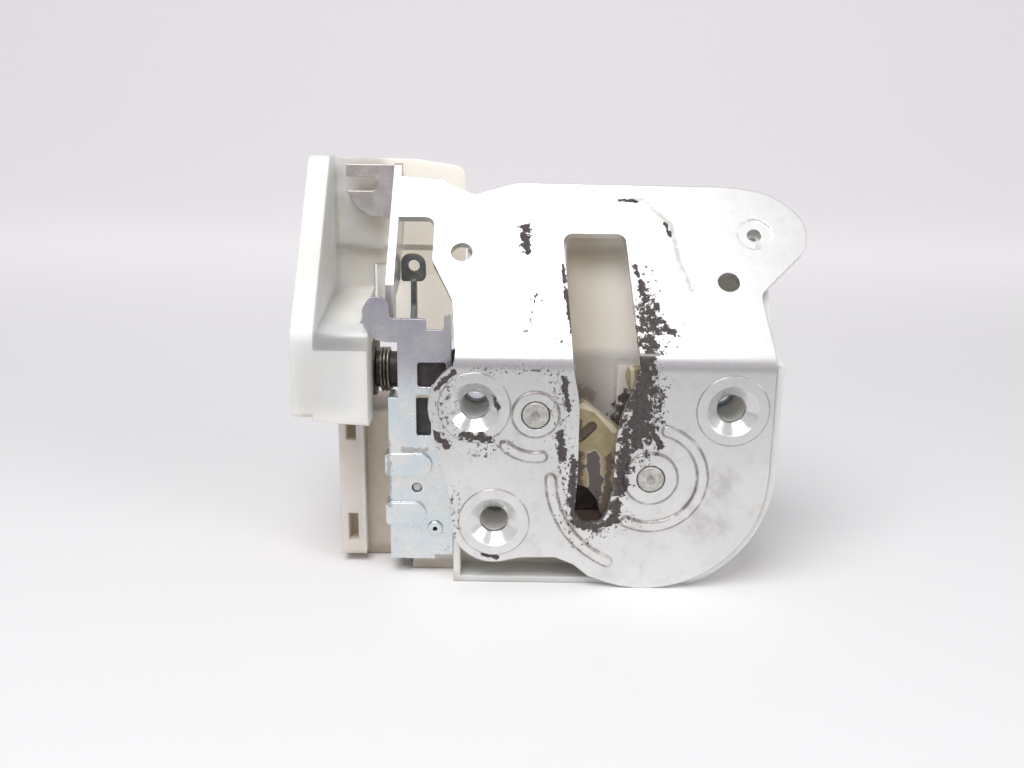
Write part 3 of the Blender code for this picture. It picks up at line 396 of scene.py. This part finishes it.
def plated_steel(looks):
    """Bright zinc plate on the face plate, dark with old grease round the slot, rubbed on the flange and
    with painted shade in places.
    """
    g = Finish("plated_steel")
    x, z, up = g.x, g.z, g.up
    sloped = up.between(-1.0, 1.0)
    flat = 1.0 - sloped
    cloud = g.noise(16.0, 4.0, 0.6)
    fine = g.noise(1.4, 3.0, 0.6)
    stain = g.noise(6.0, 5.0, 0.7)
    colour = g.blend(cloud.between(0.35, 0.7), looks.plate_colour, darker(looks.plate_colour, 0.93))
    colour = g.blend(stain.between(0.5, 0.7) * flat * 0.3, colour, (0.50, 0.48, 0.45))
    shades = [g.patch(x, z, *spot, 0.6) for spot in PLATE_SHADES]
    shade = shades[0].most(shades[1])
    colour = g.blend(shade * flat * stain.between(0.35, 0.6) * 0.4, colour, (0.40, 0.38, 0.36))
    # Painted shade: the plate turns greyer towards its top
    colour = g.blend(z.between(*PLATE_SHADE_RISE) * flat * 0.40, colour, (0.50, 0.50, 0.50))
    colour = g.blend(g.zone(FOLD_SHADE) * flat * 0.5, colour, (0.36, 0.34, 0.37))
    grain = g.noise(0.7, 4.0, 0.75).between(0.56, 0.72) * 0.4
    colour = g.blend(grain * flat, colour, (0.36, 0.34, 0.33))
    # Dirt and painted shade in the creases at the foot of the beads, rings and screw lands
    lines = press_lines(g) * flat
    colour = g.blend(lines * stain.between(0.3, 0.55) * 0.8, colour, (0.23, 0.20, 0.18))
    seats = [g.patch(x, z, screw, (SEAT_RADIUS, SEAT_RADIUS), 0.06) for screw in SCREWS]
    seats = seats[0].most(seats[1]).most(seats[2])
    # Painted shade on the cut front edge of the side wall folded back from the flange
    colour = g.blend(g.zone(WALL_EDGE_SHADE) * 0.5, colour, (0.42, 0.42, 0.43))
    # The cable tab is darker and browner: partly rust, partly painted shade
    tab_rust_and_shade = g.blend(stain.between(0.4, 0.6), (0.40, 0.36, 0.34), (0.56, 0.52, 0.51))
    colour = g.blend(g.zone(CABLE_TAB) * 0.8, colour, tab_rust_and_shade)
    rub = g.noise(7.0, 4.0, 0.7).between(0.36, 0.56) * sloped
    paths = [(start, end, 1.5) for start, end in zip(RUB, RUB[1:])]
    rub = rub * g.smear(x, up, paths).between(0.0, 0.8)
    colour = g.blend(rub * 0.75, colour, (0.36, 0.35, 0.32))
    scratch = g.noise(5.0, 6.0, 0.7, (4.0, 1.0, 0.35)).between(0.60, 0.66) * 0.3
    colour = g.blend(scratch * flat, colour, (0.93, 0.93, 0.92))
    grime = plate_grime(g, flat, sloped)
    grime_colour = g.blend(fine.between(0.4, 0.6), looks.grime_colour, (0.060, 0.045, 0.043))
    colour = g.blend(grime * 0.96, colour, grime_colour)
    rough = (fine * 0.10 + cloud * 0.12 + 0.20 + stain * 0.08) * (1.0 - seats * 0.45)
    rough = rough * (1.0 - grime) + grime * 0.92
    metal = (1.0 - grime) * looks.plate_metal
    return g.finish(colour, rough, metal, fine * 0.25 + stain * 0.4 + grime * 0.8, 0.12, 0.6)


def zinc_steel():
    """Clear zinc plate, with painted light that makes it bluish green below and painted shade that makes it
    violet above.
    """
    g = Finish("zinc_steel")
    cloud = g.noise(9.0, 4.0, 0.6)
    low = g.blend(cloud.between(0.35, 0.65), (0.62, 0.70, 0.74), (0.72, 0.72, 0.70))
    high = g.blend(cloud.between(0.4, 0.65), (0.46, 0.44, 0.50), (0.52, 0.52, 0.53))
    # Painted light below and painted shade above
    colour = g.blend(g.z.between(*ZINC_LIGHT_TO_SHADE), low, high)
    dirt = (g.noise(1.6, 5.0, 0.7) - g.z * 0.0006).between(0.66, 0.70)
    dirt = dirt.most(g.ragged(g.smear(g.x, g.z, BRACKET_DIRT), 1.4, 4.0) * 0.6)
    colour = g.blend(dirt * 0.75, colour, (0.16, 0.14, 0.13))
    rough = g.noise(5.0, 3.0, 0.6) * 0.16 + 0.20
    return g.finish(colour, rough, 0.85, g.noise(3.0, 3.0, 0.6), 0.02, 0.35)


def bare_steel():
    g = Finish("bare_steel")
    cloud = g.noise(3.0, 4.0, 0.6)
    colour = g.blend(cloud.between(0.35, 0.65), (0.20, 0.17, 0.135), (0.42, 0.39, 0.35))
    oil = g.patch(g.x, g.z, *STEEL_OIL, 0.3)
    colour = g.blend(oil * 0.85, colour, (0.07, 0.04, 0.025))
    return g.finish(colour, cloud * 0.25 + 0.25, 0.85 - oil * 0.7, g.noise(0.8, 2.0, 0.6), 0.03, 0.3)


def rivet_steel():
    """Rivet ends as grey as the plate, with dirt in the dimple."""
    g = Finish("rivet_steel")
    cloud = g.noise(1.8, 5.0, 0.65)
    dirt = g.patch(g.x, g.z, FORK, DIMPLE, 0.3).most(g.patch(g.x, g.z, PAWL, DIMPLE, 0.3))
    colour = g.blend(cloud.between(0.3, 0.7), (0.60, 0.59, 0.55), (0.38, 0.37, 0.34))
    colour = g.blend(dirt * 0.5, colour, (0.20, 0.18, 0.16))
    return g.finish(colour, cloud * 0.2 + 0.35, 0.55, cloud, 0.16, 0.4)


def white_plastic(looks):
    """Milky moulded plastic, yellowed and soiled where it meets the metal, with a painted glow behind the
    flange window.
    """
    g = Finish("white_plastic")
    x, y, z = g.x, g.y, g.z
    cloud = g.noise(22.0, 3.0, 0.5)
    smudge = g.noise(5.0, 5.0, 0.7)
    aged = tuple(c * f for c, f in zip(looks.plastic_colour, AGEING))
    colour = g.blend(cloud.between(0.35, 0.7), looks.plastic_colour, aged)
    # The box behind the bracket is tan, and its foot is browner
    box = g.zone(LEVER_BOX)
    colour = g.blend(g.zone(BOX_CHEEK) * (smudge * 0.4 + 0.45), colour, (0.60, 0.53, 0.48))
    colour = g.blend(box * (smudge * 0.5 + 0.50), colour, (0.53, 0.43, 0.33))
    colour = g.blend(g.zone(BOX_FOOT) * (smudge * 0.5 + 0.45), colour, (0.46, 0.36, 0.28))
    # The trough is grey and tan on the left and paler on the right
    inside = g.zone(TROUGH) * g.patch(x, z, *TROUGH_SPAN, 0.1)
    tint = g.blend(x.between(*TROUGH_WIDTH), (0.50, 0.44, 0.37), (0.68, 0.63, 0.57))
    colour = g.blend(inside * 0.85, colour, tint)
    brown = g.ragged(g.smear(x, z, TROUGH_STAIN), 2.4, 4.0) * inside
    colour = g.blend(brown * 0.5, colour, (0.22, 0.16, 0.11))
    lumps = g.ragged(g.smear(x, z, TROUGH_LUMPS), 2.0, 4.0) * y.between(*BEHIND_PLATE)
    colour = g.blend(lumps * 0.95, colour, (0.075, 0.056, 0.052))
    grease = g.zone(TROUGH_FOOT) * g.patch(x, z, *GREASE_SPAN, 0.1)
    colour = g.blend(grease, colour, (0.30, 0.21, 0.18))
    # Brown along the crease of the cover, tan towards its rear, and specks all over
    crease = (x - CREASE_X + (smudge - 0.5) * 2.0).size().between(1.0, 0.1) * y.between(*CREASE_DEPTH)
    colour = g.blend(crease * cloud.between(0.3, 0.55) * 0.5, colour, (0.52, 0.42, 0.29))
    colour = g.blend(g.zone(COVER_REAR) * 0.35, colour, (0.66, 0.58, 0.47))
    specks = g.noise(1.4, 5.0, 0.7).between(0.68, 0.71) * (box * 0.8 + 0.25)
    colour = g.blend(specks * 0.8, colour, (0.14, 0.11, 0.09))
    # Painted light: the wall behind the flange window glows, standing in for light that comes through it
    through = g.blend(g.zone(WINDOW_GLOW), BLACK, (0.30, 0.275, 0.245))
    g.tree.links.new(through.socket, g.shader.inputs["Emission Color"])
    rough = g.noise(7.0, 3.0, 0.6) * 0.2 + 0.34 + grease * 0.2
    return g.finish(
        colour, rough, 0.0, g.noise(0.9, 2.0, 0.5) + smudge * 0.4, 0.03, 0.8, subsurface_weight=0.6,
        subsurface_radius=(0.010, 0.009, 0.007), subsurface_scale=1.0, emission_strength=1.0)


def yellow_plastic(looks):
    """The fork's jacket, with its pale claw, the track worn by the striker and grease at its foot."""
    g = Finish("yellow_plastic")
    x, z = g.x, g.z
    cloud = g.noise(4.0, 4.0, 0.6)
    colour = g.blend(cloud.between(0.35, 0.65), looks.jacket_colour, darker(looks.jacket_colour, 0.75))
    rim = g.smear(x, z, JACKET_RIM)
    colour = g.blend(rim.between(0.0, 0.5) * 0.8, colour, (0.62, 0.56, 0.43))
    worn = g.smear(x, z, TRACK) + (cloud - 0.5) * 1.5
    colour = g.blend(worn.between(0.0, 0.12), colour, (0.38, 0.34, 0.29))
    colour = g.blend(worn.between(0.2, 0.3), colour, (0.095, 0.075, 0.07))
    black = g.ragged(g.smear(x, z, JACKET_GREASE), 2.2, 4.0)
    black = black.most(g.noise(1.6, 5.0, 0.7).between(0.66, 0.70) * 0.7)
    colour = g.blend(black * 0.85, colour, (0.085, 0.062, 0.05))
    rough = cloud * 0.2 + 0.30 + black * 0.3
    return g.finish(colour, rough, 0.0, cloud + black, 0.10, 0.5)


def black_plastic():
    g = Finish("black_plastic")
    dust = g.noise(5.0, 5.0, 0.65)
    colour = g.blend(dust.between(0.45, 0.75) * 0.6, (0.030, 0.025, 0.025), (0.15, 0.12, 0.11))
    return g.finish(colour, dust * 0.3 + 0.30, 0.0, g.noise(0.8, 2.0, 0.5), 0.03, 0.35)


def brown_steel():
    g = Finish("brown_steel")
    cloud = g.noise(3.5, 5.0, 0.65)
    colour = g.blend(cloud.between(0.35, 0.65), (0.085, 0.062, 0.05), (0.20, 0.155, 0.12))
    return g.finish(colour, cloud * 0.25 + 0.42, 0.45, cloud, 0.06, 0.35)


def dark_steel():
    g = Finish("dark_steel")
    cloud = g.noise(3.5, 4.0, 0.6)
    colour = g.blend(cloud.between(0.4, 0.7), (0.11, 0.12, 0.115), (0.18, 0.185, 0.175))
    return g.finish(colour, cloud * 0.2 + 0.35, 0.3, cloud, 0.04, 0.35)


def rubber():
    g = Finish("rubber")
    dust = g.noise(3.0, 5.0, 0.65)
    colour = g.blend(dust.between(0.45, 0.7) * 0.6, (0.09, 0.068, 0.062), (0.18, 0.14, 0.12))
    return g.finish(colour, dust * 0.2 + 0.65, 0.0, dust, 0.12, 0.5)


# Pieces

def skin(node, material):
    """A smooth copy of a CAD node with its points merged, which stands for it."""
    source = frame["nodes"][node]
    piece = bpy.data.objects.new(node + "_skin", source.data.copy())
    bpy.context.scene.collection.objects.link(piece)
    bpy.ops.object.select_all(action="DESELECT")
    piece.select_set(True)
    bpy.context.view_layer.objects.active = piece
    bpy.ops.object.mode_set(mode="EDIT")
    bpy.ops.mesh.select_all(action="SELECT")
    bpy.ops.mesh.remove_doubles(threshold=MERGE_BELOW)
    bpy.ops.mesh.dissolve_limited(angle_limit=FLAT_BELOW)
    bpy.ops.object.mode_set(mode="OBJECT")
    bpy.ops.object.shade_smooth_by_angle(angle=SMOOTH_BELOW)
    bpy.ops.object.modifier_add(type="WEIGHTED_NORMAL")
    weighting = piece.modifiers[-1]
    weighting.weight = 100
    weighting.keep_sharp = True
    bpy.ops.object.modifier_apply(modifier=weighting.name)
    piece.data.materials.clear()
    piece.data.materials.append(material)
    bodies = frame["record"]["behaviour"]["bodies"]
    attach(piece, next(body for body, nodes in bodies.items() if node in nodes))
    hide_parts(node)


def apron(material):
    """The lower part of the cover's rear wall, seen through the flange window."""
    (left, front, low), (right, back, top) = APRON
    middle = [(a + b) / 2000 for a, b in zip(APRON[0], APRON[1])]
    bpy.ops.object.select_all(action="DESELECT")
    bpy.ops.mesh.primitive_cube_add(size=1.0, location=middle)
    piece = bpy.context.object
    piece.name = "rear_wall_apron"
    piece.scale = ((right - left) / 1000, (back - front) / 1000, (top - low) / 1000)
    bpy.ops.object.transform_apply(location=True, rotation=False, scale=True)
    bpy.ops.object.modifier_add(type="BEVEL")
    piece.modifiers[-1].width = APRON_ROUND / 1000
    piece.modifiers[-1].segments = 2
    bpy.ops.object.modifier_apply(modifier=piece.modifiers[-1].name)
    bpy.ops.object.shade_smooth_by_angle(angle=SMOOTH_BELOW)
    piece.data.materials.append(material)
    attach(piece, "base")


# Settings and operators

class LockLooks(bpy.types.PropertyGroup):
    plate_colour: bpy.props.FloatVectorProperty(
        name="Plate colour", description="Colour of the clean face plate", subtype="COLOR", size=3,
        default=(0.77, 0.77, 0.755), min=0, max=1)
    plate_metal: bpy.props.FloatProperty(
        name="Plate metal", description="How metallic the clean plate is", subtype="FACTOR", default=0.88,
        min=0, max=1)
    grime_colour: bpy.props.FloatVectorProperty(
        name="Grease colour", description="Colour of the old grease round the slot", subtype="COLOR",
        size=3, default=(0.034, 0.025, 0.024), min=0, max=1)
    plastic_colour: bpy.props.FloatVectorProperty(
        name="Moulding colour", description="Colour of the milky mouldings", subtype="COLOR", size=3,
        default=(0.83, 0.82, 0.79), min=0, max=1)
    jacket_colour: bpy.props.FloatVectorProperty(
        name="Jacket colour", description="Colour of the fork's plastic jacket", subtype="COLOR", size=3,
        default=(0.34, 0.275, 0.145), min=0, max=1)
    floor_colour: bpy.props.FloatVectorProperty(
        name="Floor colour", description="Colour of the floor and backdrop", subtype="COLOR", size=3,
        default=(0.86, 0.85, 0.86), min=0, max=1)
    lamp_power: bpy.props.FloatProperty(
        name="Lamp power", description="Power of the soft lamp above", unit="POWER", default=9.2, min=0)
    world_level: bpy.props.FloatProperty(
        name="Sky level", description="Strength of the even light all round", default=0.38, min=0)
    lens: bpy.props.FloatProperty(
        name="Lens", description="Focal length of the camera", unit="CAMERA", default=34.8, min=10, max=200)


class LOCK_OT_face_plate(bpy.types.Operator):
    """Dress the folded face plate and the rivets that stand in it"""
    bl_idname = "lock.face_plate"
    bl_label = "Face plate and rivets"

    def execute(self, context):
        looks = context.scene.lock_looks
        skin("face_plate", plated_steel(looks))
        rivets = rivet_steel()
        for node in ("fork_pin", "pawl_pin"):
            skin(node, rivets)
        return {"FINISHED"}


class LOCK_OT_mouldings(bpy.types.Operator):
    """Dress the housing, the side cover and the rubber stop"""
    bl_idname = "lock.mouldings"
    bl_label = "Mouldings"

    def execute(self, context):
        looks = context.scene.lock_looks
        white = white_plastic(looks)
        for node in ("latch_housing", "side_cover"):
            skin(node, white)
        apron(white)
        skin("bump_stop", rubber())
        return {"FINISHED"}


class LOCK_OT_latch(bpy.types.Operator):
    """Dress the fork, its jacket, the pawl and their springs"""
    bl_idname = "lock.latch"
    bl_label = "Fork and pawl"

    def execute(self, context):
        skin("fork_cover", yellow_plastic(context.scene.lock_looks))
        steel = bare_steel()
        for node in ("fork", "pawl", "fork_spring", "pawl_spring"):
            skin(node, steel)
        return {"FINISHED"}


class LOCK_OT_bracket(bpy.types.Operator):
    """Dress the lever bracket, its eyelet and the plate at the back"""
    bl_idname = "lock.bracket"
    bl_label = "Bracket and back plate"

    def execute(self, context):
        zinc = zinc_steel()
        for node in ("lever_bracket", "back_plate", "bracket_rivet"):
            skin(node, zinc)
        return {"FINISHED"}


class LOCK_OT_levers(bpy.types.Operator):
    """Dress the levers and what they turn on"""
    bl_idname = "lock.levers"
    bl_label = "Levers"

    def execute(self, context):
        black = black_plastic()
        for node in ("lift_lever", "lock_lever", "lever_bushing"):
            skin(node, black)
        skin("inner_lever", dark_steel())
        skin("outer_lever", brown_steel())
        bright = bare_steel()
        for node in ("lever_pin", "lever_spring"):
            skin(node, bright)
        return {"FINISHED"}


def floor_paint(looks):
    """A pale floor with painted shade from a hand's width in front of the lock, for the plate to reflect,
    that stays pale far off.
    """
    g = Finish("floor_paint")
    # Painted shade in front of the lock, which the plate reflects
    colour = g.blend(g.y.between(*FLOOR_SHADE), looks.floor_colour, (0.36, 0.36, 0.37))
    far = g.y.between(*FLOOR_FAR).most(g.y.between(*FLOOR_NEAR) * 1.4)
    glow = g.blend(g.seen() * far, BLACK, (0.33, 0.31, 0.33))
    g.tree.links.new(glow.socket, g.shader.inputs["Emission Color"])
    g.shader.inputs["Emission Strength"].default_value = 1.0
    g.tree.links.new(colour.socket, g.shader.inputs["Base Color"])
    g.shader.inputs["Roughness"].default_value = 0.55
    return g.material


def soft_lamp(name, place, size, power):
    """A round lamp that faces the middle of the lock."""
    bpy.ops.object.select_all(action="DESELECT")
    bpy.ops.object.light_add(type="AREA", location=place)
    lamp = bpy.context.object
    lamp.name = name
    lamp.data.shape = "DISK"
    lamp.data.size = size
    lamp.data.energy = power
    lamp.rotation_euler = (Vector(LAMP_TARGET) - Vector(place)).to_track_quat("-Z", "Y").to_euler()


def sky(looks):
    """Even light all round, which is as pale as the backdrop where it is seen."""
    world = bpy.data.worlds.new("sky")
    world.use_nodes = True
    g = Graph(world.node_tree)
    light, pale = world.node_tree.nodes["Background"], world.node_tree.nodes.new("ShaderNodeBackground")
    light.inputs["Color"].default_value = SKY_LIGHT
    light.inputs["Strength"].default_value = looks.world_level
    pale.inputs["Color"].default_value = SKY_SEEN
    mixed = g.node("ShaderNodeMixShader", {}, {0: g.seen()})
    for i, background in enumerate((light, pale)):
        g.tree.links.new(background.outputs[0], mixed.socket.node.inputs[i + 1])
    g.tree.links.new(mixed.socket, world.node_tree.nodes["World Output"].inputs["Surface"])
    return world


class LOCK_OT_stage(bpy.types.Operator):
    """Set the floor, the light and the camera"""
    bl_idname = "lock.stage"
    bl_label = "Stage"

    def execute(self, context):
        looks = context.scene.lock_looks
        floor_z = CAD_BOX[0].z
        bpy.ops.object.select_all(action="DESELECT")
        bpy.ops.mesh.primitive_plane_add(size=FLOOR_SIZE, location=(0, 0, floor_z))
        floor = context.object
        floor.name = "floor"
        bpy.ops.object.mode_set(mode="EDIT")
        bpy.ops.mesh.select_all(action="DESELECT")
        bpy.ops.object.mode_set(mode="OBJECT")
        for edge in floor.data.edges:
            edge.select = all(floor.data.vertices[i].co.y > 0 for i in edge.vertices)
        bpy.ops.object.mode_set(mode="EDIT")
        bpy.ops.mesh.select_mode(type="EDGE")
        bpy.ops.mesh.extrude_region_move(TRANSFORM_OT_translate={"value": (0, 0, WALL_HEIGHT)})
        bpy.ops.object.mode_set(mode="OBJECT")
        floor.data.transform(Matrix.Translation(floor.location) @ Matrix.Diagonal((FLOOR_STRETCH, 1, 1, 1)))
        floor.location = (0, 0, 0)
        bevel = floor.modifiers.new("sweep", "BEVEL")
        bevel.width = SWEEP_RADIUS
        bevel.segments = SWEEP_STEPS
        bpy.ops.object.modifier_apply(modifier="sweep")
        bpy.ops.object.shade_smooth()
        floor.data.materials.append(floor_paint(looks))
        for name, (place, size, share) in LAMPS.items():
            soft_lamp(name, place, size, looks.lamp_power * share)
        context.scene.world = sky(looks)
        bpy.ops.object.select_all(action="DESELECT")
        bpy.ops.object.camera_add(location=CAMERA_PLACE)
        camera = context.object
        camera.name = "camera"
        camera.data.lens = looks.lens
        camera.data.sensor_width = 36.0
        tilt = Matrix.Rotation(math.radians(90) - CAMERA_DIP, 3, "X")
        camera.rotation_euler = (tilt @ Matrix.Rotation(CAMERA_ROLL, 3, "Z")).to_euler()
        camera.data.clip_start = 0.01
        context.scene.camera = camera
        context.scene.view_settings.view_transform = "Standard"
        return {"FINISHED"}


class LOCK_PT_panel(bpy.types.Panel):
    """Lists the steps that build the lock's looks"""
    bl_label = "Door Lock"
    bl_idname = "LOCK_PT_panel"
    bl_space_type = "VIEW_3D"
    bl_region_type = "UI"
    bl_category = "Door Lock"

    def draw(self, context):
        looks = context.scene.lock_looks
        for name in LockLooks.__annotations__:
            self.layout.prop(looks, name)
        for step in STEPS:
            self.layout.operator(step.bl_idname)


STEPS = (
    LOCK_OT_face_plate,
    LOCK_OT_mouldings,
    LOCK_OT_latch,
    LOCK_OT_bracket,
    LOCK_OT_levers,
    LOCK_OT_stage,
)
CLASSES = (LockLooks, *STEPS, LOCK_PT_panel)


def register():
    for cls in CLASSES:
        bpy.utils.register_class(cls)
    bpy.types.Scene.lock_looks = bpy.props.PointerProperty(type=LockLooks)


def unregister():
    del bpy.types.Scene.lock_looks
    for cls in reversed(CLASSES):
        bpy.utils.unregister_class(cls)


def main():
    register()
    bpy.ops.lock.face_plate()
    bpy.ops.lock.mouldings()
    bpy.ops.lock.latch()
    bpy.ops.lock.bracket()
    bpy.ops.lock.levers()
    bpy.ops.lock.stage()


if __name__ == "__main__":
    main()
